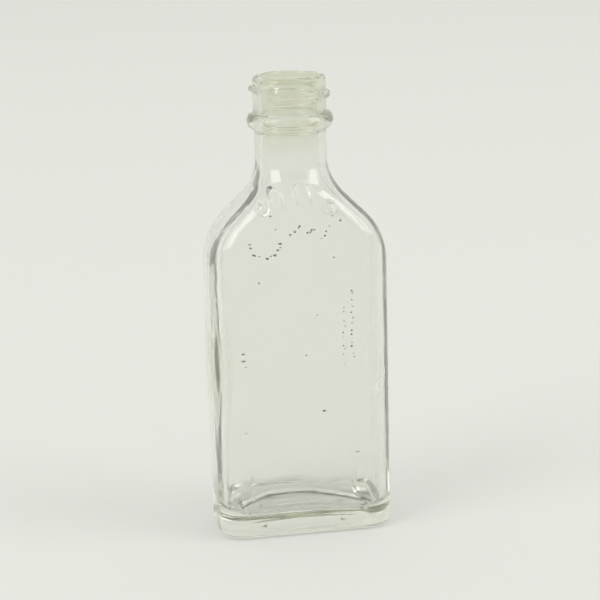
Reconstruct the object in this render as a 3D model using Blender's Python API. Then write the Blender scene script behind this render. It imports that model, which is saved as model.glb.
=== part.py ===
"""Flat oblong medicine bottle in clear moulded glass, with a screw-thread mouth.

The bottle is one piece of glass. Its outside and its inside are both stacks of closed rings:
rounded oblongs in the body, circles in the neck and the mouth. The wall is the glass between them.
The front label panel faces -Y, and the bottle stands on z = 0 with its neck along +Z.
"""
import math

import bmesh
import bpy

# ---- Driving sizes, in metres -------------------------------------------------------------
HEIGHT = 0.1103

BODY_WIDTH = 0.0425
BODY_DEPTH = 0.0246
FRONT_CORNER = 0.0060        # radius of the two upright edges beside the label panel
BACK_CORNER = 0.0096         # the two rear upright edges are rounder
BODY_WALL = 0.0022

HEEL_RADIUS = 0.0017         # outer edge between the sides and the base
BEARING_WIDTH = 0.0026       # flat ring that the bottle stands on
PUSH_UP = 0.0006             # height of the oval dome under the base
FLOOR_THICKNESS = 0.0056     # from the bearing ring up to the inner floor
FLOOR_SWEEP = 0.0028         # height over which the inner walls curve down to the floor
SWEEP_FRONT = 0.0009         # how far the floor's edge then lies from the front wall,
SWEEP_SIDE = 0.0034          # from each side wall,
SWEEP_BACK = 0.0054          # and from the back wall: the floor is a half-moon
FLOOR_CORNER = 0.0020        # front corners of the half-moon

BORE_RADIUS = 0.00655
NECK_WALL = 0.0020
NECK_LENGTH = 0.0076         # straight neck between the shoulder and the bead
SHOULDER_SLOPE = 45.0        # degrees from upright, seen from the front
SHOULDER_ROUND = 0.0165      # outward curve where the body turns in
FLARE_ROUND = 0.0110         # inward curve where the shoulder runs up into the neck
SIDE_SLOPE = 35.0            # the same three, seen from the side
SIDE_ROUND = 0.0080
SIDE_FLARE = 0.0080

BEAD_BELOW_LIP = 0.0105      # lip to the middle of the transfer bead
BEAD_STAND = 0.0017          # how far the bead stands out of the neck
BEAD_HEIGHT = 0.0038

FINISH_WALL = 0.0021         # wall between the threads
THREAD_STAND = 0.0010        # how far the thread stands out of that wall
THREAD_PITCH = 0.003175
THREAD_WIDTH = 0.0025
THREAD_TURNS = 1.07
THREAD_START = -140.0        # degrees about +Z from +X, so the thread begins at the front left
THREAD_START_BELOW_LIP = 0.0056
THREAD_FADE = 30.0           # degrees over which each end of the thread runs out

LIP_ROUND = 0.0011           # outer edge of the mouth
BORE_ROUND = 0.0005          # inner edge of the mouth

# ---- Fineness -----------------------------------------------------------------------------
SIDES = 60                   # points round each ring
CURVE_STEPS = 6              # rings along each shoulder curve
SMALL_STEPS = 3              # rings along each small rounding
BEAD_STEPS = 6
DOME_STEPS = 4
THREAD_RING_GAP = 0.00048    # height between rings where the thread runs

GLASS_COLOUR = (0.88, 0.90, 0.84, 1.0)

# ---- Sizes that follow --------------------------------------------------------------------
HALF_WIDTH = BODY_WIDTH / 2
HALF_DEPTH = BODY_DEPTH / 2
NECK_RADIUS = BORE_RADIUS + NECK_WALL
FINISH_RADIUS = BORE_RADIUS + FINISH_WALL
BEAD_RADIUS = NECK_RADIUS + BEAD_STAND
BEAD_Z = HEIGHT - BEAD_BELOW_LIP
NECK_BOTTOM_Z = BEAD_Z - BEAD_HEIGHT / 2 - NECK_LENGTH


def blend(low, high, share):
    """The value that lies a share of the way from low to high."""
    return low + (high - low) * share


def oblong(half_width, half_depth, front, back, z):
    """Points of a rounded oblong ring, evenly spaced along it from the middle of its front.

    front and back are the (x, y) radii of the front and the rear corners.
    """
    corners = (
        (half_width - front[0], front[1] - half_depth, front, -90),
        (half_width - back[0], half_depth - back[1], back, 0),
        (back[0] - half_width, half_depth - back[1], back, 90),
        (front[0] - half_width, front[1] - half_depth, front, 180),
    )
    outline = [(0.0, -half_depth)]
    for centre_x, centre_y, radii, first in corners:
        for step in range(25):
            angle = math.radians(first + 90 * step / 24)
            outline.append((centre_x + radii[0] * math.cos(angle), centre_y + radii[1] * math.sin(angle)))
    outline.append(outline[0])
    lengths = [math.dist(a, b) for a, b in zip(outline, outline[1:])]
    spacing = sum(lengths) / SIDES
    points = []
    passed = 0.0
    piece = 0
    for number in range(SIDES):
        while piece < len(lengths) - 1 and passed + lengths[piece] < number * spacing:
            passed += lengths[piece]
            piece += 1
        share = (number * spacing - passed) / lengths[piece] if lengths[piece] else 0.0
        (x0, y0), (x1, y1) = outline[piece], outline[piece + 1]
        points.append((blend(x0, x1, share), blend(y0, y1, share), z))
    return points


def body_ring(inset, z):
    """A ring of the straight body, moved in from the outer surface by inset."""
    front = max(FRONT_CORNER - inset, FRONT_CORNER / 4)
    back = max(BACK_CORNER - inset, BACK_CORNER / 4)
    return oblong(HALF_WIDTH - inset, HALF_DEPTH - inset, (front, front), (back, back), z)


def circle(radius, z):
    """A round ring of the neck or the mouth."""
    return oblong(radius, radius, (radius, radius), (radius, radius), z)


def s_curve(wide, narrow, slope, low_round, high_round):
    """(half-size, height below the neck) pairs of a shoulder line, from the body up to the neck."""
    slope = math.radians(slope)
    turn_in = 1 - math.cos(slope)
    steepest = (wide - narrow) / turn_in
    scale = min(1.0, steepest / (low_round + high_round))
    low_round *= scale
    high_round *= scale
    straight = (wide - narrow - (low_round + high_round) * turn_in) / math.tan(slope)
    total = (low_round + high_round) * math.sin(slope) + straight
    line = []
    for step in range(CURVE_STEPS + 1):
        angle = slope * step / CURVE_STEPS
        line.append((wide - low_round * (1 - math.cos(angle)), total - low_round * math.sin(angle)))
    straight_end = (narrow + high_round * turn_in, high_round * math.sin(slope))
    for step in range(1, SMALL_STEPS):
        share = step / SMALL_STEPS
        line.append((blend(line[CURVE_STEPS][0], straight_end[0], share),
                     blend(line[CURVE_STEPS][1], straight_end[1], share)))
    for step in range(CURVE_STEPS + 1):
        angle = slope * (1 - step / CURVE_STEPS)
        line.append((narrow + high_round * (1 - math.cos(angle)), high_round * math.sin(angle)))
    return line


def size_at(line, drop):
    """Half-size of a shoulder line at a given height below the neck."""
    if drop >= line[0][1]:
        return line[0][0]
    for (size0, drop0), (size1, drop1) in zip(line, line[1:]):
        if drop0 >= drop >= drop1 and drop0 > drop1:
            return blend(size0, size1, (drop0 - drop) / (drop0 - drop1))
    return line[-1][0]


def shoulder_rings(inset, neck_radius):
    """Rings from the top of the straight body up to the bottom of the neck."""
    growth = NECK_RADIUS - neck_radius
    front_line = s_curve(HALF_WIDTH - inset, neck_radius, SHOULDER_SLOPE,
                         SHOULDER_ROUND - inset, FLARE_ROUND + growth)
    side_line = s_curve(HALF_DEPTH - inset, neck_radius, SIDE_SLOPE,
                        SIDE_ROUND - inset, SIDE_FLARE + growth)
    rings = []
    for half_width, drop in front_line:
        half_depth = size_at(side_line, drop)
        shares = ((HALF_WIDTH - inset - half_width) / (HALF_WIDTH - inset - neck_radius),
                  (HALF_DEPTH - inset - half_depth) / (HALF_DEPTH - inset - neck_radius))
        front = [blend(FRONT_CORNER - inset, neck_radius, share) for share in shares]
        back = [blend(BACK_CORNER - inset, neck_radius, share) for share in shares]
        rings.append(oblong(half_width, half_depth, front, back, NECK_BOTTOM_Z - drop))
    return rings


def thread_height(angle, z):
    """How far the thread stands out of the finish wall at an angle (degrees) and a height."""
    start_z = HEIGHT - THREAD_START_BELOW_LIP
    half = THREAD_WIDTH / 2
    tallest = 0.0
    for turn in range(-1, math.ceil(THREAD_TURNS) + 1):
        travel = angle + 360 * turn - THREAD_START
        if not 0 <= travel <= THREAD_TURNS * 360:
            continue
        off_middle = abs(z - start_z - THREAD_PITCH * travel / 360) / half
        run_out = min(1.0, travel / THREAD_FADE, (THREAD_TURNS * 360 - travel) / THREAD_FADE)
        slope = min(1.0, max(0.0, (1 - off_middle) / 0.65))
        tallest = max(tallest, THREAD_STAND * slope * run_out)
    return tallest


def threaded_ring(z):
    """A ring of the finish wall, pushed out where the thread crosses it."""
    ring = []
    for x, y, _ in circle(FINISH_RADIUS, z):
        swell = 1 + thread_height(math.degrees(math.atan2(y, x)), z) / FINISH_RADIUS
        ring.append((x * swell, y * swell, z))
    return ring


def finish_rings():
    """Rings of the outside from the neck, over the bead and the thread, up to the lip."""
    rings = [circle(NECK_RADIUS, BEAD_Z - BEAD_HEIGHT / 2 - 0.0002)]
    for step in range(BEAD_STEPS + 1):
        angle = math.pi * (step / BEAD_STEPS - 0.5)
        wall = NECK_RADIUS if angle < 0 else FINISH_RADIUS
        rings.append(circle(wall + (BEAD_RADIUS - wall) * math.cos(angle) ** 0.7,
                            BEAD_Z + BEAD_HEIGHT / 2 * math.sin(angle)))
    low = BEAD_Z + BEAD_HEIGHT / 2 + 0.0002
    high = HEIGHT - LIP_ROUND
    count = math.ceil((high - low) / THREAD_RING_GAP)
    rings += [threaded_ring(blend(low, high, step / count)) for step in range(count + 1)]
    for step in range(1, SMALL_STEPS + 1):
        angle = math.pi / 2 * step / SMALL_STEPS
        rings.append(circle(FINISH_RADIUS - LIP_ROUND * (1 - math.cos(angle)),
                            high + LIP_ROUND * math.sin(angle)))
    return rings


def hollow(x, y):
    """Height of the underside: an oval dome inside the ring that the bottle stands on."""
    inner = HEEL_RADIUS + BEARING_WIDTH
    return PUSH_UP * max(0.0, 1 - (x / (HALF_WIDTH - inner)) ** 2 - (y / (HALF_DEPTH - inner)) ** 2)


def base_rings():
    """Rings of the outside from the middle of the base, over the bearing ring, to the heel."""
    rings = []
    for step in range(DOME_STEPS + 1):
        inset = blend(HALF_DEPTH * 0.85, HEEL_RADIUS + BEARING_WIDTH, step / DOME_STEPS)
        rings.append([(x, y, hollow(x, y)) for x, y, _ in body_ring(inset, 0.0)])
    for step in range(SMALL_STEPS + 1):
        angle = math.pi / 2 * step / SMALL_STEPS
        rings.append(body_ring(HEEL_RADIUS * (1 - math.sin(angle)), HEEL_RADIUS * (1 - math.cos(angle))))
    return rings


def floor_edge(share, z):
    """A ring between the upright inner wall (share 0) and the half-moon edge of the floor (share 1)."""
    half_width = HALF_WIDTH - BODY_WALL - SWEEP_SIDE * share
    front_y = BODY_WALL - HALF_DEPTH + SWEEP_FRONT * share
    back_y = HALF_DEPTH - BODY_WALL - SWEEP_BACK * share
    half_depth = (back_y - front_y) / 2
    front = blend(FRONT_CORNER - BODY_WALL, FLOOR_CORNER, share)
    back = BACK_CORNER - BODY_WALL
    back_radii = (blend(back, half_width, share), blend(back, half_depth * 2 - front, share))
    ring = oblong(half_width, half_depth, (front, front), back_radii, z)
    return [(x, y + (front_y + back_y) / 2, level) for x, y, level in ring]


def inside_rings():
    """Rings of the inside from the mouth down to the edge of the inner floor."""
    rings = []
    for step in range(SMALL_STEPS + 1):
        angle = math.pi / 2 * step / SMALL_STEPS
        rings.append(circle(BORE_RADIUS + BORE_ROUND * (1 - math.sin(angle)),
                            HEIGHT - BORE_ROUND * (1 - math.cos(angle))))
    rings += reversed(shoulder_rings(BODY_WALL, BORE_RADIUS))
    for step in range(CURVE_STEPS + 1):
        angle = math.pi / 2 * step / CURVE_STEPS
        rings.append(floor_edge(1 - math.cos(angle), FLOOR_THICKNESS + FLOOR_SWEEP * (1 - math.sin(angle))))
    return rings


def extrude_stack(rings):
    """One closed skin: the first ring is capped, extruded to each next ring, and capped again."""
    skin = bmesh.new()
    verts = [skin.verts.new(point) for point in rings[0]]
    edges = [skin.edges.new((verts[i - 1], verts[i])) for i in range(len(verts))]
    skin.faces.new(verts)
    for points in rings[1:]:
        grown = bmesh.ops.extrude_edge_only(skin, edges=edges)["geom"]
        new_verts = {item for item in grown if isinstance(item, bmesh.types.BMVert)}
        verts = [next(edge.other_vert(old) for edge in old.link_edges if edge.other_vert(old) in new_verts)
                 for old in verts]
        for vert, point in zip(verts, points):
            vert.co = point
        edges = [skin.edges.get((verts[i - 1], verts[i])) for i in range(len(verts))]
    skin.faces.new(verts)
    bmesh.ops.recalc_face_normals(skin, faces=skin.faces[:])
    return skin


def glass():
    """Clear glass with a slight yellow-green cast."""
    material = bpy.data.materials.new("clear_glass")
    material.use_nodes = True
    shader = material.node_tree.nodes["Principled BSDF"]
    shader.inputs["Base Color"].default_value = GLASS_COLOUR
    shader.inputs["Roughness"].default_value = 0.03
    shader.inputs["Metallic"].default_value = 0.0
    shader.inputs["Transmission Weight"].default_value = 1.0
    material.diffuse_color = GLASS_COLOUR
    return material


def build():
    """Empty the scene and make the bottle."""
    for item in list(bpy.data.objects):
        bpy.data.objects.remove(item, do_unlink=True)
    rings = base_rings() + shoulder_rings(0.0, NECK_RADIUS) + finish_rings() + inside_rings()
    skin = extrude_stack(rings)
    mesh = bpy.data.meshes.new("glass_bottle")
    skin.to_mesh(mesh)
    skin.free()
    mesh.shade_smooth()
    mesh.set_sharp_from_angle(angle=math.radians(50))
    mesh.materials.append(glass())
    bottle = bpy.data.objects.new("glass_bottle", mesh)
    bpy.context.scene.collection.objects.link(bottle)


build()
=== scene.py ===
# %% [markdown]
# # A flat oblong medicine bottle in clear glass
#
# The real object is one piece of moulded glass: a flat body, two sloping shoulders, a round neck,
# a raised bead and a screw thread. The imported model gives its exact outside. Glass is judged by how
# it bends light, so this file makes a much finer skin with a true inside surface, and then gives it
# the small faults of old pressed glass: a thick side, a wavy inside, and specks of dried residue.

# %% Load the fixed frame
import math
import random

import bmesh
import bpy
from mathutils import Matrix, Vector, noise
from mathutils.bvhtree import BVHTree


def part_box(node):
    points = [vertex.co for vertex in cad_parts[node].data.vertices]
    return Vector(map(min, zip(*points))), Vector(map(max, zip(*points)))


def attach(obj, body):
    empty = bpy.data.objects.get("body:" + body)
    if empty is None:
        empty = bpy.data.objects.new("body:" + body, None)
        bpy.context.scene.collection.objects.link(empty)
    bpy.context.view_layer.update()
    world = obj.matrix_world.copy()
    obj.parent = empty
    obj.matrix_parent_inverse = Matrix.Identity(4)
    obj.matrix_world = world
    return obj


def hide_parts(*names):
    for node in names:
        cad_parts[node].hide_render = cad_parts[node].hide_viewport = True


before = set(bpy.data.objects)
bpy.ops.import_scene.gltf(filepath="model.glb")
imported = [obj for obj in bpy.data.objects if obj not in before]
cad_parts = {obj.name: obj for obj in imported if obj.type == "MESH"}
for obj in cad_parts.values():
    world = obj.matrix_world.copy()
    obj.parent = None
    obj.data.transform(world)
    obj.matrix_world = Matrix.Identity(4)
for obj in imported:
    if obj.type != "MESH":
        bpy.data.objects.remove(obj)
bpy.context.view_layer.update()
low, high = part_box("glass_bottle")
width, depth, height = high - low
print("CAD box, mm:", [round(size * 1000, 2) for size in (width, depth, height)])

# %% [markdown]
# ## Camera
#
# A long lens, about half a metre away and a little above the shoulder, looks down on the bottle and
# slightly onto its left side. The bottle leans a degree and a half in the frame, so the camera rolls.
# The three turns could be typed in as Euler angles. Aiming at a point and rolling afterwards keeps
# each number meaningful.

# %% Place the camera
CAMERA_TURN = math.radians(-10.2)
CAMERA_RISE = math.radians(14.3)
CAMERA_ROLL = math.radians(1.5)
CAMERA_DISTANCE = 0.449
CAMERA_TARGET = Vector((0.0013, 0.0, 0.0557))
CAMERA_LENS = 111.5

towards_camera = Vector((
    math.sin(CAMERA_TURN) * math.cos(CAMERA_RISE),
    -math.cos(CAMERA_TURN) * math.cos(CAMERA_RISE),
    math.sin(CAMERA_RISE),
))
camera = bpy.data.objects.new("camera", bpy.data.cameras.new("camera"))
bpy.context.scene.collection.objects.link(camera)
aim = (-towards_camera).to_track_quat("-Z", "Y").to_matrix().to_4x4()
stand = Matrix.Translation(CAMERA_TARGET + towards_camera * CAMERA_DISTANCE)
camera.matrix_world = stand @ aim @ Matrix.Rotation(-CAMERA_ROLL, 4, "Z")
camera.data.lens = CAMERA_LENS
camera.data.clip_start = 0.01
camera.data.clip_end = 30
bpy.context.scene.camera = camera
print("camera at", [round(value, 3) for value in camera.location])

# %% [markdown]
# ## Room and light
#
# Clear glass shows only what is around it. With white all round, its edges would vanish, and with
# black cards beside it they would be drawn in ink. A plain room does something between: it is pale
# low down, where the table and the walls are, and dims towards the ceiling. The floor and the low
# part of the world share nearly one pale tone, so from the camera the table has no visible end.

# %% The floor
PALE = (0.783, 0.791, 0.750)
FLOOR_REFLECTANCE = 0.44
FLOOR_GLOW = 0.43            # the sheet is lit a little from below
FLOOR_SIZE = 24.0
FLOOR_LEVEL = -0.0002        # a hair below the glass, so the two faces don't flicker

sheet = bmesh.new()
bmesh.ops.create_grid(sheet, x_segments=1, y_segments=1, size=FLOOR_SIZE / 2)
bmesh.ops.translate(sheet, vec=(0, 0, FLOOR_LEVEL), verts=sheet.verts)
floor_mesh = bpy.data.meshes.new("floor")
sheet.to_mesh(floor_mesh)
sheet.free()
floor = bpy.data.objects.new("floor", floor_mesh)
bpy.context.scene.collection.objects.link(floor)

paper = bpy.data.materials.new("floor")
paper.use_nodes = True
paper_shader = paper.node_tree.nodes["Principled BSDF"]
paper_shader.inputs["Base Color"].default_value = (*[FLOOR_REFLECTANCE * part / PALE[1] for part in PALE], 1)
paper_shader.inputs["Roughness"].default_value = 0.9
paper_shader.inputs["Emission Color"].default_value = (*PALE, 1)
paper_shader.inputs["Emission Strength"].default_value = FLOOR_GLOW
paper_shader.inputs["Specular IOR Level"].default_value = 0.1
floor_mesh.materials.append(paper)
print("floor", FLOOR_SIZE, "m across")

# %% [markdown]
# The room itself is only a colour that changes with height. Real walls would do the same, but they
# would have to be placed, lit and kept out of the way of the lamps.

# %% The pale room
CEILING_SHADE = 0.86         # how bright the ceiling is beside the walls
WALL_TOP = 0.38              # the dimming starts at this height in the ramp
CEILING_START = 0.85         # and is complete at this one

world = bpy.data.worlds.new("pale_room")
bpy.context.scene.world = world
world.use_nodes = True
sky = world.node_tree
direction = sky.nodes.new("ShaderNodeTexCoord")
upward = sky.nodes.new("ShaderNodeSeparateXYZ")
dimming = sky.nodes.new("ShaderNodeValToRGB")
dimming.color_ramp.elements[0].position = WALL_TOP
dimming.color_ramp.elements[0].color = (*PALE, 1)
dimming.color_ramp.elements[1].position = CEILING_START
dimming.color_ramp.elements[1].color = (*[part * CEILING_SHADE for part in PALE], 1)
sky.links.new(direction.outputs["Generated"], upward.inputs["Vector"])
sky.links.new(upward.outputs["Z"], dimming.inputs["Fac"])
sky.links.new(dimming.outputs["Color"], sky.nodes["Background"].inputs["Color"])
print("ceiling at", CEILING_SHADE, "of the walls")

# %% [markdown]
# Two tall soft lamps stand well back on either side. Being far away, they light the table evenly,
# and being tall, their reflections run down the slopes of the shoulders as streaks. The left one is
# stronger, so the bottle's faint shadow falls to the right.

# %% Lamps
def soft_lamp(name, location, wide, tall, watts):
    """An upright oblong lamp aimed at the middle of the bottle."""
    lamp = bpy.data.objects.new(name, bpy.data.lights.new(name, "AREA"))
    bpy.context.scene.collection.objects.link(lamp)
    lamp.data.shape = "RECTANGLE"
    lamp.data.size = wide
    lamp.data.size_y = tall
    lamp.data.energy = watts
    lamp.location = location
    lamp.rotation_mode = "QUATERNION"
    lamp.rotation_quaternion = (Vector((0, 0, height / 2)) - Vector(location)).to_track_quat("-Z", "Y")
    print(name, watts, "W")


soft_lamp("key_lamp", (-2.3, -1.1, 1.8), 1.7, 2.6, 36)
soft_lamp("fill_lamp", (2.3, -1.1, 1.7), 1.6, 2.5, 30)

# %% [markdown]
# Light crosses many surfaces inside a thick base, and it is also led along the wall like water in a
# pipe. Each crossing or reflection costs a bounce, and a path that runs out of them comes back black,
# so the limits are raised well above the usual dozen.

# %% Colour and bounces
BOUNCES = 32
bpy.context.scene.view_settings.view_transform = "Standard"
bpy.context.scene.cycles.max_bounces = BOUNCES
bpy.context.scene.cycles.transmission_bounces = BOUNCES
bpy.context.scene.cycles.glossy_bounces = BOUNCES
print("up to", BOUNCES, "bounces")

# %% [markdown]
# ## Rings
#
# Every level of the bottle is one closed ring. In the body it is a rounded oblong, and in the neck
# it is a circle, which is the same shape with its corners grown until no straight side is left.
# Points are spread evenly along each ring, so neighbouring rings pair up without twisting.

# %% Sizes of the rings
AROUND = 216                 # points in each ring
CORNER_STEPS = 32            # steps in each corner before the points are evened out
FRONT_CORNER = 0.0060
BACK_CORNER = 0.0096
BODY_WALL = 0.0022
NECK_WALL = 0.0020
NECK_RADIUS = 0.00855
HALF_WIDTH = width / 2
HALF_DEPTH = depth / 2
BORE_RADIUS = NECK_RADIUS - NECK_WALL


def blend(start, end, share):
    """The value that lies a share of the way from start to end."""
    return start + (end - start) * share


def ring(half_width, half_depth, front, back, z):
    """Evenly spaced points of a rounded oblong. front and back are the (x, y) corner radii."""
    corners = (
        (half_width - front[0], front[1] - half_depth, front, -90),
        (half_width - back[0], half_depth - back[1], back, 0),
        (back[0] - half_width, half_depth - back[1], back, 90),
        (front[0] - half_width, front[1] - half_depth, front, 180),
    )
    outline = [Vector((0, -half_depth, z))]
    for middle_x, middle_y, radii, first in corners:
        for step in range(CORNER_STEPS + 1):
            angle = math.radians(first + 90 * step / CORNER_STEPS)
            outline.append(Vector((middle_x + radii[0] * math.cos(angle),
                                   middle_y + radii[1] * math.sin(angle), z)))
    outline.append(outline[0])
    lengths = [(b - a).length for a, b in zip(outline, outline[1:])]
    spacing = sum(lengths) / AROUND
    points = []
    passed, piece = 0.0, 0
    for number in range(AROUND):
        while piece < len(lengths) - 1 and passed + lengths[piece] < number * spacing:
            passed += lengths[piece]
            piece += 1
        share = (number * spacing - passed) / lengths[piece] if lengths[piece] else 0.0
        points.append(outline[piece].lerp(outline[piece + 1], share))
    return points


def body_ring(inset, z):
    """A ring of the straight body, moved in from its outer surface by inset."""
    front = max(FRONT_CORNER - inset, FRONT_CORNER / 4)
    back = max(BACK_CORNER - inset, BACK_CORNER / 4)
    return ring(HALF_WIDTH - inset, HALF_DEPTH - inset, (front, front), (back, back), z)


def circle(radius, z):
    """A round ring of the neck or the mouth."""
    return ring(radius, radius, (radius, radius), (radius, radius), z)


sample = body_ring(0.0, 0.0)
print("points", round((sample[1] - sample[0]).length * 1000, 2), "mm apart round the body")

# %% [markdown]
# ## Shoulder line
#
# Seen from the front, the side turns in along one curve, runs straight at 45 degrees, and sweeps up
# into the neck along a second curve. Seen from the side there is a smaller version of the same
# S. Two arcs and a straight, worked out from their radii, keep the wall even inside and out.

# %% Two arcs and a straight
NECK_LENGTH = 0.0076
BEAD_BELOW_LIP = 0.0105
BEAD_HEIGHT = 0.0038
BEAD_Z = height - BEAD_BELOW_LIP
NECK_BOTTOM_Z = BEAD_Z - BEAD_HEIGHT / 2 - NECK_LENGTH
CURVE_STEPS = 20


def s_curve(wide, narrow, slope, low_round, high_round):
    """(half-size, height below the neck) pairs from the body up to the neck."""
    slope = math.radians(slope)
    turn_in = 1 - math.cos(slope)
    scale = min(1.0, (wide - narrow) / turn_in / (low_round + high_round))
    low_round, high_round = low_round * scale, high_round * scale
    straight = (wide - narrow - (low_round + high_round) * turn_in) / math.tan(slope)
    total = (low_round + high_round) * math.sin(slope) + straight
    line = []
    for step in range(CURVE_STEPS + 1):
        angle = slope * step / CURVE_STEPS
        line.append((wide - low_round * (1 - math.cos(angle)), total - low_round * math.sin(angle)))
    top_of_straight = (narrow + high_round * turn_in, high_round * math.sin(slope))
    foot = line[-1]
    for step in range(1, CURVE_STEPS // 2):
        share = 2 * step / CURVE_STEPS
        line.append((blend(foot[0], top_of_straight[0], share),
                     blend(foot[1], top_of_straight[1], share)))
    for step in range(CURVE_STEPS + 1):
        angle = slope * (1 - step / CURVE_STEPS)
        line.append((narrow + high_round * (1 - math.cos(angle)), high_round * math.sin(angle)))
    return line


print("neck from", round(NECK_BOTTOM_Z * 1000, 1), "mm, bead at", round(BEAD_Z * 1000, 1), "mm")

# %% [markdown]
# The two lines give the width and the depth at each height. The corner radii grow with them, so the
# oblong turns into a circle on the way up. Copying the body's ring and scaling it would flatten the
# neck instead.

# %% Rings of the shoulder
SHOULDER_SLOPE = 45          # degrees, seen from the front
SHOULDER_ROUND = 0.0165
FLARE_ROUND = 0.0110
SIDE_SLOPE = 35              # and seen from the side
SIDE_ROUND = 0.0080
SIDE_FLARE = 0.0080


def size_at(line, drop):
    """Half-size of a shoulder line at a height below the neck."""
    if drop >= line[0][1]:
        return line[0][0]
    for (size0, drop0), (size1, drop1) in zip(line, line[1:]):
        if drop0 >= drop >= drop1 and drop0 > drop1:
            return blend(size0, size1, (drop0 - drop) / (drop0 - drop1))
    return line[-1][0]


def shoulder_rings(inset, neck_radius):
    """Rings from the top of the straight body to the bottom of the neck."""
    growth = NECK_RADIUS - neck_radius
    front_line = s_curve(HALF_WIDTH - inset, neck_radius, SHOULDER_SLOPE,
                         SHOULDER_ROUND - inset, FLARE_ROUND + growth)
    side_line = s_curve(HALF_DEPTH - inset, neck_radius, SIDE_SLOPE, SIDE_ROUND - inset, SIDE_FLARE + growth)
    rings = []
    for half_width, drop in front_line:
        half_depth = size_at(side_line, drop)
        shares = ((HALF_WIDTH - inset - half_width) / (HALF_WIDTH - inset - neck_radius),
                  (HALF_DEPTH - inset - half_depth) / (HALF_DEPTH - inset - neck_radius))
        front = [blend(FRONT_CORNER - inset, neck_radius, share) for share in shares]
        back = [blend(BACK_CORNER - inset, neck_radius, share) for share in shares]
        rings.append(ring(half_width, half_depth, front, back, NECK_BOTTOM_Z - drop))
    return rings


shoulder_z = shoulder_rings(0.0, NECK_RADIUS)[0][0].z
print("shoulder from", round(shoulder_z * 1000, 1), "to", round(NECK_BOTTOM_Z * 1000, 1), "mm")

# %% [markdown]
# ## Mouth: bead, thread and lip
#
# The thread could be a separate coil sunk into the wall, but two overlapping solids of glass bend
# light twice where they cross. Here the wall itself swells where the helix passes, so the mouth stays
# one skin. The thread is right-handed and runs a little more than once round.

# %% The thread as a swelling of the wall
FINISH_RADIUS = 0.00865      # the wall between the bead and the lip
CREST_RADIUS = 0.00965       # the top of the thread
THREAD_PITCH = 0.003175
THREAD_WIDTH = 0.0025
THREAD_TURN = 385.0          # degrees from end to end
THREAD_START = -140.0        # degrees round from the right side
THREAD_START_Z = height - 0.0056
THREAD_FADE = 30.0           # degrees over which each end runs out


def ease(share):
    """Runs from 0 to 1 with a soft start and a soft stop."""
    share = min(1.0, max(0.0, share))
    return share * share * (3 - 2 * share)


def thread_swell(point):
    """How far the thread stands out of the wall at a point of the finish."""
    angle = math.degrees(math.atan2(point.y, point.x))
    tallest = 0.0
    for turn in (0, 1, 2):
        travel = angle + 360 * turn - THREAD_START
        if 0 <= travel <= THREAD_TURN:
            off_middle = abs(point.z - THREAD_START_Z - THREAD_PITCH * travel / 360) / (THREAD_WIDTH / 2)
            run_out = ease(min(travel, THREAD_TURN - travel) / THREAD_FADE)
            tallest = max(tallest, run_out * ease((1 - off_middle) / 0.75))
    return (CREST_RADIUS - FINISH_RADIUS) * tallest


print("thread", round((CREST_RADIUS - FINISH_RADIUS) * 1000, 2), "mm high,",
      round(THREAD_TURN / 360, 2), "turns")

# %% [markdown]
# The bead is half an oval on the wall, and the lip is a quarter circle. Modelling the rings in order,
# from the neck upwards, lets the same extrusion make them as the rest.

# %% Rings of the mouth
BEAD_RADIUS = 0.01025
BEAD_FULLNESS = 0.8          # under 1 makes the bead's oval a little square
LIP_ROUND = 0.0011


def mouth_rings():
    """Rings of the outside from the neck, over the bead and the thread, to the lip."""
    bead_foot = BEAD_Z - BEAD_HEIGHT / 2
    rings = [circle(NECK_RADIUS, blend(NECK_BOTTOM_Z, bead_foot, step / 6)) for step in range(1, 6)]
    for step in range(25):
        angle = math.pi * (step / 24 - 0.5)
        wall = NECK_RADIUS if angle < 0 else FINISH_RADIUS
        rings.append(circle(wall + (BEAD_RADIUS - wall) * math.cos(angle) ** BEAD_FULLNESS,
                            BEAD_Z + BEAD_HEIGHT / 2 * math.sin(angle)))
    start, end = BEAD_Z + BEAD_HEIGHT / 2 + 0.0001, height - LIP_ROUND
    for step in range(57):
        level = circle(FINISH_RADIUS, blend(start, end, step / 56))
        outwards = [Vector((point.x, point.y, 0)).normalized() for point in level]
        rings.append([point + out * thread_swell(point) for point, out in zip(level, outwards)])
    for step in range(1, 9):
        angle = math.pi / 2 * step / 8
        rings.append(circle(FINISH_RADIUS - LIP_ROUND * (1 - math.cos(angle)),
                            end + LIP_ROUND * math.sin(angle)))
    return rings


mouth = mouth_rings()
print(len(mouth), "rings from the neck to the lip")

# %% [markdown]
# ## Base and body
#
# The base stands on a narrow ring round a shallow hollow, which keeps a bottle from rocking. A plain
# flat base would be simpler, but light that comes up through it would not bend as it does here.

# %% Rings of the base and the body
HEEL_RADIUS = 0.0017
BEARING_WIDTH = 0.0026
PUSH_UP = 0.0006


def hollow(point):
    """Height of the underside at a point: an oval dome inside the bearing ring."""
    inner = HEEL_RADIUS + BEARING_WIDTH
    off_middle = (point.x / (HALF_WIDTH - inner)) ** 2 + (point.y / (HALF_DEPTH - inner)) ** 2
    return PUSH_UP * max(0.0, 1 - off_middle)


def base_rings():
    """Rings from the middle of the base, over the bearing ring, to the top of the heel."""
    rings = []
    for step in range(17):
        inset = blend(HALF_DEPTH - 0.0004, HEEL_RADIUS + BEARING_WIDTH, step / 16)
        rings.append([Vector((point.x, point.y, hollow(point))) for point in body_ring(inset, 0.0)])
    for step in range(13):
        angle = math.pi / 2 * step / 12
        rings.append(body_ring(HEEL_RADIUS * (1 - math.sin(angle)), HEEL_RADIUS * (1 - math.cos(angle))))
    return rings


def wall_rings(inset, start, end, steps):
    """Rings of the straight body between two levels, without the two end ones."""
    return [body_ring(inset, blend(start, end, step / steps)) for step in range(1, steps)]


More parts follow.
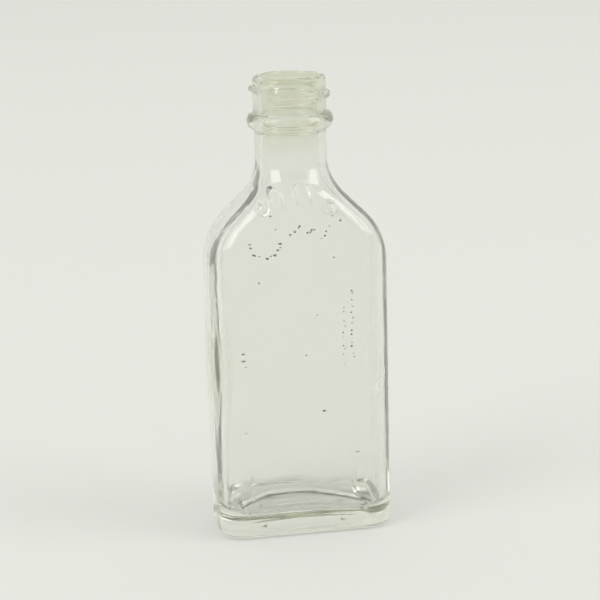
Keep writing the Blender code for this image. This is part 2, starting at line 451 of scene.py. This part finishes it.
outside = base_rings() + wall_rings(0.0, HEEL_RADIUS, shoulder_z, 40)
outside += shoulder_rings(0.0, NECK_RADIUS) + mouth
print(len(outside), "rings outside")

# %% [markdown]
# ## Inside
#
# The inside is not a copy of the outside. The floor is thick and shaped like a half-moon, and a soft
# sweep joins it to the walls. Its edge is what draws the dark curves low down in the glass, so it has
# a small sharp step of its own. A Solidify modifier would give an even wall and miss all of this.

# %% Rings of the inside
BORE_ROUND = 0.0005
FLOOR_THICKNESS = 0.0056
FLOOR_SWEEP = 0.0028         # height over which the walls curve down to the floor
SWEEP_FRONT = 0.0009         # and how far the floor's edge then lies from each wall
SWEEP_SIDE = 0.0034
SWEEP_BACK = 0.0054
FLOOR_MOUND = 0.0005         # how far the middle of the floor stands above its edge
FLOOR_STEP = 0.0007          # the sharp step down to the floor at that edge
FLOOR_CORNER = 0.0020        # the half-moon's two front corners


def floor_edge(share, z):
    """A ring on the way from the upright inner wall (share 0) to the half-moon edge of the floor (1)."""
    half_width = HALF_WIDTH - BODY_WALL - SWEEP_SIDE * share
    front_y = BODY_WALL - HALF_DEPTH + SWEEP_FRONT * share
    back_y = HALF_DEPTH - BODY_WALL - SWEEP_BACK * share
    half_depth = (back_y - front_y) / 2
    front = blend(FRONT_CORNER - BODY_WALL, FLOOR_CORNER, share)
    back = BACK_CORNER - BODY_WALL
    back_radii = (blend(back, half_width * 0.98, share),
                  blend(back, half_depth * 2 - front - 0.0002, share))
    shift = Vector((0, (front_y + back_y) / 2, 0))
    return [point + shift for point in ring(half_width, half_depth, (front, front), back_radii, z)]


def inside_rings():
    """Rings from the mouth down the bore and the body to the inner floor."""
    rings = []
    for step in range(9):
        angle = math.pi / 2 * step / 8
        rings.append(circle(BORE_RADIUS + BORE_ROUND * (1 - math.sin(angle)),
                            height - BORE_ROUND * (1 - math.cos(angle))))
    bore_top = height - BORE_ROUND
    rings += [circle(BORE_RADIUS, blend(bore_top, NECK_BOTTOM_Z, step / 16)) for step in range(1, 16)]
    inner_shoulder = shoulder_rings(BODY_WALL, BORE_RADIUS)
    rings += reversed(inner_shoulder)
    sweep_top = FLOOR_THICKNESS + FLOOR_SWEEP
    rings += wall_rings(BODY_WALL, inner_shoulder[0][0].z, sweep_top, 36)
    for step in range(17):
        angle = math.pi / 2 * step / 16
        drop = FLOOR_SWEEP - FLOOR_STEP
        rings.append(floor_edge(1 - math.cos(angle), sweep_top - drop * math.sin(angle)))
    edge = rings[-1]
    centre = sum(edge, Vector()) / len(edge)
    for share, dip in ((0.006, 0.12), (0.012, 0.5), (0.020, 0.88), (0.030, 1)):
        rings.append([point.lerp(centre, share) - Vector((0, 0, FLOOR_STEP * dip)) for point in edge])
    for step in range(1, 11):
        share = blend(0.03, 0.97, step / 10)
        rise = Vector((0, 0, FLOOR_MOUND * (1 - (1 - share) ** 2) - FLOOR_STEP))
        rings.append([point.lerp(centre, share) + rise for point in edge])
    return rings


inside = inside_rings()
print(len(inside), "rings inside")

# %% [markdown]
# ## One skin
#
# The first ring is drawn and filled, then its rim is extruded once for each ring that follows, and
# the last rim is filled too. Extruding keeps one unbroken skin from the base, over the lip, and down
# to the inner floor, so the glass has a true thickness everywhere.

# %% Extrude the stack of rings
def extrude_stack(rings):
    """A closed skin through all the rings, filled at the first one and the last one."""
    skin = bmesh.new()
    verts = [skin.verts.new(point) for point in rings[0]]
    edges = [skin.edges.new((verts[i - 1], verts[i])) for i in range(len(verts))]
    skin.faces.new(verts)
    for points in rings[1:]:
        grown = bmesh.ops.extrude_edge_only(skin, edges=edges)["geom"]
        fresh = {item for item in grown if isinstance(item, bmesh.types.BMVert)}
        verts = [next(edge.other_vert(old) for edge in old.link_edges if edge.other_vert(old) in fresh)
                 for old in verts]
        for vert, point in zip(verts, points):
            vert.co = point
        edges = [skin.edges.get((verts[i - 1], verts[i])) for i in range(len(verts))]
    skin.faces.new(verts)
    bmesh.ops.recalc_face_normals(skin, faces=skin.faces[:])
    return skin


skin = extrude_stack(outside + inside)
skin.verts.ensure_lookup_table()
outer_count = len(outside) * AROUND
print(len(skin.verts), "vertices in the skin")

# %% [markdown]
# ## The unevenness of blown glass
#
# Air pushed the hot glass out against cold iron. The outside took the mould's shape almost exactly,
# while the inside stayed free and came out wavy. On this bottle the left wall is also thick and bulges
# a little, and the inner floor lies lower on the right. Smooth noise and one soft swelling, pushed
# along each surface's own normal, give the first two. The floor's vertices are simply let down.

# %% Push the two surfaces out of true
OUTER_WAVE = 0.00004
INNER_WAVE = 0.00022
INNER_RIPPLE = 0.00005
BULGE_Z = 0.043              # the middle of the thick part of the left wall
BULGE_REACH = 0.030          # it dies out this far above and below
BULGE_OUT = 0.0005
BULGE_IN = 0.0005
FLOOR_LEAN = 0.0012          # how much lower the floor lies at its right end
LEAN_START = -0.002          # it starts here, near the middle,
LEAN_RUN = 0.018             # is complete this far to the right,
LEAN_HEIGHT = 0.008          # and dies out over this height


def wave(point, size, seed):
    """Smooth noise from about -1 to 1, with waves of a given size in metres."""
    return noise.noise(Vector((point.x / size, point.y / size, point.z / size + seed)))


skin.normal_update()
normals = [vert.normal.copy() for vert in skin.verts]
for number, vert in enumerate(skin.verts):
    spot = vert.co.copy()
    if spot.z > NECK_BOTTOM_Z:
        continue
    in_wall = ease((spot.z - HEEL_RADIUS) / 0.006)
    side = ease((-spot.x - HALF_WIDTH * 0.72) / (HALF_WIDTH * 0.25))
    bulge = side * ease(1 - abs(spot.z - BULGE_Z) / BULGE_REACH)
    if number < outer_count:
        push = in_wall * (OUTER_WAVE * wave(spot, 0.011, 3) + BULGE_OUT * bulge)
    else:
        push = INNER_WAVE * wave(spot, 0.012, 9) + INNER_RIPPLE * wave(spot, 0.004, 5) + BULGE_IN * bulge
        low = ease(1 - (spot.z - FLOOR_THICKNESS) / LEAN_HEIGHT)
        spot.z -= FLOOR_LEAN * low * ease((spot.x - LEAN_START) / LEAN_RUN)
    vert.co = spot + normals[number] * push
print("thick side", (BULGE_OUT + BULGE_IN) * 1000, "mm thicker, floor leans", FLOOR_LEAN * 1000, "mm")

# %% [markdown]
# ## Raised marks
#
# The mould left small marks in relief on the front of the shoulder: two round bosses, each like a
# small ring, and two hooped ridges between them. Another small swelling sits low on the right front
# edge, and near the base the label panel's two side edges end in short upright ribs. A bump in the
# shader would catch the light but bend nothing behind it, so these are real heights.

# %% Heights of the marks
RIDGE = 0.00030              # half-width of a ridge
RIB = 0.00022                # half-width of a rib
RING_BOSSES = ((-0.0091, 0.0809, 0.0011), (0.0065, 0.0806, 0.0013))      # x, z and radius
HOOPS = ((-0.0060, 0.0840, 0.0016), (0.0006, 0.0848, 0.0017))
SWELLING = (0.0176, 0.0363, 0.0012)
RIBS = ((-0.0135, 0.0142, 0.0034), (0.0114, 0.0136, 0.0030))             # x, z and half-length
HOOP_LEG = 0.0018            # the hoops' legs run down this far at full height
HOOP_FADE = 0.0022           # and then die out over this length
BOSS_HEIGHT = 0.00085
BOSS_MIDDLE_HEIGHT = 0.00025
HOOP_HEIGHT = 0.00080
RIB_HEIGHT = 0.00045
SWELLING_HEIGHT = 0.00050


def hill(distance, half_width):
    """A smooth bump, 1 in the middle and 0 from twice its half-width outwards."""
    return ease(1 - abs(distance) / (2 * half_width))


def relief(x, z):
    """Height of the raised marks at a place on the front."""
    lift = 0.0
    for middle_x, middle_z, radius in RING_BOSSES:
        away = math.hypot(x - middle_x, z - middle_z)
        lift += BOSS_HEIGHT * hill(away - radius, RIDGE) + BOSS_MIDDLE_HEIGHT * hill(away, radius / 2)
    for middle_x, middle_z, radius in HOOPS:
        away = math.hypot(x - middle_x, max(0.0, z - middle_z))
        fade = ease(1 - max(0.0, middle_z - z - HOOP_LEG) / HOOP_FADE)
        lift += HOOP_HEIGHT * hill(away - radius, RIDGE) * fade
    for middle_x, middle_z, half_length in RIBS:
        lift += RIB_HEIGHT * hill(x - middle_x, RIB) * hill(z - middle_z, half_length / 1.4)
    middle_x, middle_z, radius = SWELLING
    return lift + SWELLING_HEIGHT * hill(math.hypot(x - middle_x, (z - middle_z) * 0.8), radius / 1.5)


print(len(RING_BOSSES), "bosses,", len(HOOPS), "hoops,", len(RIBS), "ribs and a swelling")

# %% [markdown]
# The skin is too coarse for ridges half a millimetre wide, so the faces under the marks are divided
# first. Only the outer vertices are then lifted, along their normals, and the inner wall stays plain.

# %% Lift the marks out of the front
FRONT_Y = -0.003             # only what is nearer than this can carry a mark
FACING = -0.15               # and only where the surface looks this much towards the front
PATCHES = [((-0.0120, 0.0095), (0.0778, 0.0885)),      # x and z limits of the bosses and hoops
           ((0.0140, 0.0250), (0.0342, 0.0390))]       # and of the swelling
PATCHES += [((x - 0.0009, x + 0.0009), (z - 0.0050, z + 0.0050)) for x, z, half_length in RIBS]


def marked(face):
    """True for a front face that a mark may reach."""
    middle = face.calc_center_median()
    near = any(left < middle.x < right and bottom < middle.z < top
               for (left, right), (bottom, top) in PATCHES)
    return near and middle.y < FRONT_Y and face.normal.y < FACING


def outer(face):
    """True for a face of the skin's outer side."""
    return all(vert.index < outer_count for vert in face.verts)


skin.faces.ensure_lookup_table()
picked = [face for face in skin.faces if marked(face) and outer(face)]
picked_edges = list({edge for face in picked for edge in face.edges})
bmesh.ops.subdivide_edges(skin, edges=picked_edges, cuts=2, use_grid_fill=True, smooth=1.0)
skin.normal_update()
facing = [vert for vert in skin.verts if vert.co.y < FRONT_Y and vert.normal.y < FACING]
raised = [(vert, relief(vert.co.x, vert.co.z), vert.normal.copy()) for vert in facing]
raised = [(vert, lift, normal) for vert, lift, normal in raised if lift > 0]
for vert, lift, normal in raised:
    vert.co += normal * lift
print(len(picked), "faces divided,", len(raised), "vertices lifted by up to",
      round(max(lift for _, lift, _ in raised) * 1000, 2), "mm")

# %% [markdown]
# ## From skin to object
#
# The skin becomes a mesh, and its object stays at the origin with its place in its mesh. A search
# tree of the glass is kept too, because the residue will have to find the inner wall.

# %% Make the bottle
def piece_of(name, shape):
    """A smooth piece made from a bmesh, which is then let go."""
    mesh = bpy.data.meshes.new(name)
    shape.to_mesh(mesh)
    shape.free()
    mesh.shade_smooth()
    piece = bpy.data.objects.new(name, mesh)
    bpy.context.scene.collection.objects.link(piece)
    print(name, "triangles:", sum(len(face.vertices) - 2 for face in mesh.polygons))
    return piece


walls = BVHTree.FromBMesh(skin)
bottle = piece_of("bottle_glass", skin)
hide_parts("glass_bottle")
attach(bottle, "root")

# %% [markdown]
# ## Clear glass
#
# The surface is a Principled shader that lets nearly all light through and bends it by 1.5, like
# soda-lime glass. The small share it holds back, and a little roughness, are the haze of years of
# handling. The faint yellow-green cast belongs in the volume, because then thick places such as the
# bead, the base and the edge of the wall come out darker on their own. A very fine ripple stands
# for the mould's skin.

# %% The glass material
glass = bpy.data.materials.new("clear_glass")
glass.use_nodes = True
nodes, links = glass.node_tree.nodes, glass.node_tree.links
shader = nodes["Principled BSDF"]
shader.inputs["Base Color"].default_value = (1, 1, 1, 1)
shader.inputs["Roughness"].default_value = 0.05
shader.inputs["IOR"].default_value = 1.5
shader.inputs["Transmission Weight"].default_value = 0.93

surface = nodes.new("ShaderNodeTexCoord")
ripple = nodes.new("ShaderNodeTexNoise")
ripple.inputs["Scale"].default_value = 120
ripple.inputs["Detail"].default_value = 2
links.new(surface.outputs["Object"], ripple.inputs["Vector"])
ripple_bump = nodes.new("ShaderNodeBump")
ripple_bump.inputs["Strength"].default_value = 0.25
ripple_bump.inputs["Distance"].default_value = 0.0002
links.new(ripple.outputs["Fac"], ripple_bump.inputs["Height"])
links.new(ripple_bump.outputs["Normal"], shader.inputs["Normal"])
bottle.data.materials.append(glass)
print("glass of index", shader.inputs["IOR"].default_value)

# %% [markdown]
# ### Old film
#
# The glass carries a thin olive film that no longer washes off: strongest on the lip, fainter round
# the neck, and faint again outside the thick left wall. It tints the glass's own colour, and masks
# made from height and width keep it to those places. A vertex colour would need a painter's hand at
# every vertex, while these few sums can be read and changed.

# %% Helpers for masks
def fade_between(value, start, end):
    """0 where value is at start, 1 where it is at end, with a smooth change."""
    node = nodes.new("ShaderNodeMapRange")
    node.inputs["From Min"].default_value = start
    node.inputs["From Max"].default_value = end
    node.interpolation_type = "SMOOTHSTEP"
    links.new(value, node.inputs["Value"])
    return node.outputs["Result"]


def combine(operation, first, second):
    """The result of a sum on two values, where the second may be a plain number."""
    node = nodes.new("ShaderNodeMath")
    node.operation = operation
    links.new(first, node.inputs[0])
    if isinstance(second, float):
        node.inputs[1].default_value = second
    else:
        links.new(second, node.inputs[1])
    return node.outputs[0]


place = nodes.new("ShaderNodeSeparateXYZ")
links.new(surface.outputs["Object"], place.inputs["Vector"])
print("masks made so far:", len(nodes), "nodes")

# %% [markdown]
# Each place has a mask of its own. The larger of the masks is taken, and noise breaks it into patches,
# as real film is.

# %% Where the film lies
FILM_BULGE_Z = 0.0415
LIP_FILM = 0.95
NECK_FILM = 0.5

at_mouth = fade_between(place.outputs["Z"], 0.0880, 0.1030)
at_side = fade_between(place.outputs["X"], -0.0193, -0.0210)
off_bulge = combine("ABSOLUTE", combine("SUBTRACT", place.outputs["Z"], FILM_BULGE_Z), 0.0)
at_bulge = combine("MULTIPLY", at_side, fade_between(off_bulge, 0.0150, 0.0050))
at_lip = combine("MULTIPLY", fade_between(place.outputs["Z"], 0.1080, 0.1094), LIP_FILM)
thinner = combine("MULTIPLY", combine("MAXIMUM", at_mouth, at_bulge), NECK_FILM)

blotches = nodes.new("ShaderNodeTexNoise")
blotches.inputs["Scale"].default_value = 260
blotches.inputs["Detail"].default_value = 3
links.new(surface.outputs["Object"], blotches.inputs["Vector"])
patchy = combine("ADD", combine("MULTIPLY", blotches.outputs["Fac"], 2.4), -0.25)
film = combine("MULTIPLY", combine("MAXIMUM", thinner, at_lip), patchy)

film_colour = nodes.new("ShaderNodeMix")
film_colour.data_type = "RGBA"
film_colour.inputs["A"].default_value = (0.985, 0.985, 0.965, 1)
film_colour.inputs["B"].default_value = (0.80, 0.81, 0.68, 1)
links.new(film, film_colour.inputs["Factor"])
links.new(film_colour.outputs["Result"], shader.inputs["Base Color"])
print("film on the lip at", LIP_FILM, "and round the neck at", NECK_FILM)

# %% [markdown]
# ### The cast of the glass
#
# Iron in the sand leaves a trace of yellow-green. Absorption in the volume takes a little more from
# blue with every millimetre that light travels inside, so a thin wall looks clear and the base doesn't.

# %% Absorption in the volume
absorb = nodes.new("ShaderNodeVolumeAbsorption")
absorb.inputs["Color"].default_value = (0.72, 0.74, 0.54, 1)
absorb.inputs["Density"].default_value = 14
links.new(absorb.outputs["Volume"], nodes["Material Output"].inputs["Volume"])
print("absorption density", absorb.inputs["Density"].default_value)

# %% [markdown]
# ## Dried residue
#
# Something syrupy dried inside long ago. Crumbs mark the lower edge of an old drop on the left of the
# shoulder, two dotted runs come down on the right, and a few strays cling elsewhere. A texture on the
# glass would look printed, so every crumb is a small squashed lump that touches the inner surface.

# %% Where the crumbs cling
chance = random.Random(4)
crumbs = []                  # x, z and size in millimetres, and how many times as long as it is tall
DROP_MIDDLE = (-8.6, 72.8)   # the old drop's middle, and how far its edge reaches sideways and down
DROP_REACH = (3.9, 3.7)


def run_of_crumbs(start, end, count, size):
    """Crumbs along a line from one (x, z) to another, unevenly spaced."""
    for number in range(count):
        share = (number + chance.uniform(0.1, 0.9)) / count
        x = blend(start[0], end[0], share) + chance.uniform(-0.25, 0.25)
        z = blend(start[1], end[1], share) + chance.uniform(-0.4, 0.4)
        crumbs.append((x, z, size * chance.uniform(0.7, 1.3), 1.0))


for number in range(11):
    angle = math.radians(blend(188, 352, number / 10) + chance.uniform(-8, 8))
    reach = chance.uniform(0.92, 1.08)
    x = DROP_MIDDLE[0] + DROP_REACH[0] * reach * math.cos(angle)
    z = DROP_MIDDLE[1] + DROP_REACH[1] * reach * math.sin(angle)
    crumbs.append((x, z, chance.uniform(0.26, 0.74), 1.4))
run_of_crumbs((11.8, 61.2), (11.8, 42.5), 13, 0.46)
run_of_crumbs((9.9, 56.8), (9.7, 41.2), 12, 0.40)
run_of_crumbs((-3.1, 74.2), (0.6, 76.4), 4, 0.50)
run_of_crumbs((1.2, 74.3), (3.4, 75.0), 4, 0.48)
run_of_crumbs((5.4, 73.8), (6.9, 75.8), 3, 0.44)
crumbs += [(-10.0, 85.5, 0.40, 1.0), (-7.1, 79.0, 0.48, 1.2), (-6.0, 75.8, 0.36, 1.0),
           (9.4, 77.0, 0.52, 1.3), (7.6, 78.3, 0.50, 1.0), (4.9, 73.0, 0.34, 1.0),
           (7.7, 68.2, 0.46, 1.2), (-10.3, 63.2, 0.54, 1.0), (3.4, 54.6, 0.34, 1.5),
           (2.7, 53.7, 0.28, 1.0), (0.5, 44.8, 0.46, 1.0), (4.6, 30.7, 0.70, 1.3),
           (12.5, 19.7, 0.30, 4.5), (-14.5, 26.6, 0.28, 1.6), (-14.6, 46.2, 0.50, 1.8),
           (-14.5, 44.5, 0.74, 1.4), (-14.0, 43.0, 0.42, 1.0)]
print(len(crumbs), "crumbs on the front")

# %% [markdown]
# Each crumb is found a place by looking from the middle of the bottle towards the front until the
# ray meets glass. A few more cling to the left wall, so for them the ray goes to the side, and some
# lie in the floor's front corners, so for them it goes down.

# %% Shape the crumbs
CRUMB_HEIGHT = 0.45          # a crumb's height, as a share of its size
CRUMB_STAND = 0.24           # its middle stands this share of its size off the glass
LOOK_DOWN_FROM = 0.030       # a level inside the bottle, above the floor
residue = bmesh.new()


def add_crumb(origin, towards, size, length):
    """A squashed lump where a ray from origin first meets the glass."""
    touch, facing, _, _ = walls.ray_cast(Vector(origin), Vector(towards).normalized())
    inwards = facing if facing.dot(Vector(towards)) < 0 else -facing
    turn = inwards.to_track_quat("Z", "Y").to_matrix().to_4x4()
    squash = Matrix.Diagonal((length, chance.uniform(0.7, 1.0), CRUMB_HEIGHT, 1))
    middle = touch + inwards * size * CRUMB_STAND
    lump = Matrix.Translation(middle) @ turn @ squash
    made = bmesh.ops.create_icosphere(residue, subdivisions=2, radius=size / 2, matrix=lump)["verts"]
    for vert in made:
        vert.co = middle + (vert.co - middle) * (1 + 0.35 * noise.noise(vert.co / size * 1.7))


for x, z, size, length in crumbs:
    add_crumb((x * 0.0006, 0, z / 1000), (x * 0.0004, -0.0101, 0), size / 1000, length)
for y, z in ((0.0042, 0.0670), (0.0006, 0.0672), (-0.0038, 0.0675)):
    add_crumb((-0.012, y, z), (-1, 0, 0), 0.00045, 1.2)
for x, y, size in ((0.0140, -0.0083, 0.0009), (0.0148, -0.0076, 0.0007), (0.0133, -0.0086, 0.0006),
                   (0.0152, -0.0066, 0.0005), (-0.0149, -0.0082, 0.0005), (-0.0141, -0.0086, 0.0004)):
    add_crumb((x, y, LOOK_DOWN_FROM), (0, 0, -1), size, 1.3)
print(len(residue.faces), "faces in the crumbs")

# %% [markdown]
# Sediment also dried as a hair-thin tide line round the curved back of the half-moon floor, where the
# last of the syrup stood. Its path is half an ellipse dropped onto the glass. A curve object with a
# bevel would do, but the extrusion that made the bottle is at hand, and it lets the line vary in width.

# %% The path of the tide line
TIDE_STEPS = 72
TIDE_MIDDLE = (0.0004, -0.0076)
TIDE_HALF_WIDTH = 0.0158
TIDE_DEPTH = 0.0101

path = []
for step in range(TIDE_STEPS + 1):
    angle = math.pi * step / TIDE_STEPS
    path.append(Vector((TIDE_MIDDLE[0] + TIDE_HALF_WIDTH * math.cos(angle),
                        TIDE_DEPTH * math.sin(angle) + TIDE_MIDDLE[1], LOOK_DOWN_FROM)))
print("tide line through", len(path), "points")

# %% [markdown]
# At each point of the path, a ray finds the floor, and a ring is drawn there that rests on it.

# %% Skin the tide line
TIDE_RADIUS = 0.00019
UP = Vector((0, 0, 1))

tide_rings = []
for number, point in enumerate(path):
    touch = walls.ray_cast(point, -UP)[0]
    along = (path[min(TIDE_STEPS, number + 1)] - path[max(0, number - 1)]).normalized()
    across = along.cross(UP)
    thick = TIDE_RADIUS * (1 + 0.7 * noise.noise(point * 700))
    turns = [2 * math.pi * corner / 8 for corner in range(8)]
    tide_rings.append([touch + UP * thick + (across * math.cos(turn) + UP * math.sin(turn)) * thick
                       for turn in turns])
tide_line = piece_of("sediment_line", extrude_stack(tide_rings))
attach(tide_line, "root")

# %% [markdown]
# The crumbs are separate lumps but one piece, because they share one dull finish and nothing moves.

# %% The crumbs as one piece
specks = piece_of("dried_residue", residue)
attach(specks, "root")

# %% [markdown]
# Dried syrup is dull, and ranges from brown to olive from one crumb to the next. A noise with lumps
# about as large as the crumbs gives each its own tone without a material each.

# %% The residue material
residue_look = bpy.data.materials.new("dried_residue")
residue_look.use_nodes = True
residue_nodes, residue_links = residue_look.node_tree.nodes, residue_look.node_tree.links
residue_place = residue_nodes.new("ShaderNodeTexCoord")
patches = residue_nodes.new("ShaderNodeTexNoise")
patches.inputs["Scale"].default_value = 350
residue_tone = residue_nodes.new("ShaderNodeValToRGB")
residue_tone.color_ramp.elements[0].position = 0.40
residue_tone.color_ramp.elements[0].color = (0.140, 0.110, 0.062, 1)
residue_tone.color_ramp.elements[1].position = 0.62
residue_tone.color_ramp.elements[1].color = (0.380, 0.355, 0.190, 1)
residue_links.new(residue_place.outputs["Object"], patches.inputs["Vector"])
residue_links.new(patches.outputs["Fac"], residue_tone.inputs["Fac"])
residue_shader = residue_nodes["Principled BSDF"]
residue_shader.inputs["Roughness"].default_value = 0.75
residue_links.new(residue_tone.outputs["Color"], residue_shader.inputs["Base Color"])
specks.data.materials.append(residue_look)
tide_line.data.materials.append(residue_look)
print("residue tones", len(residue_tone.color_ramp.elements))
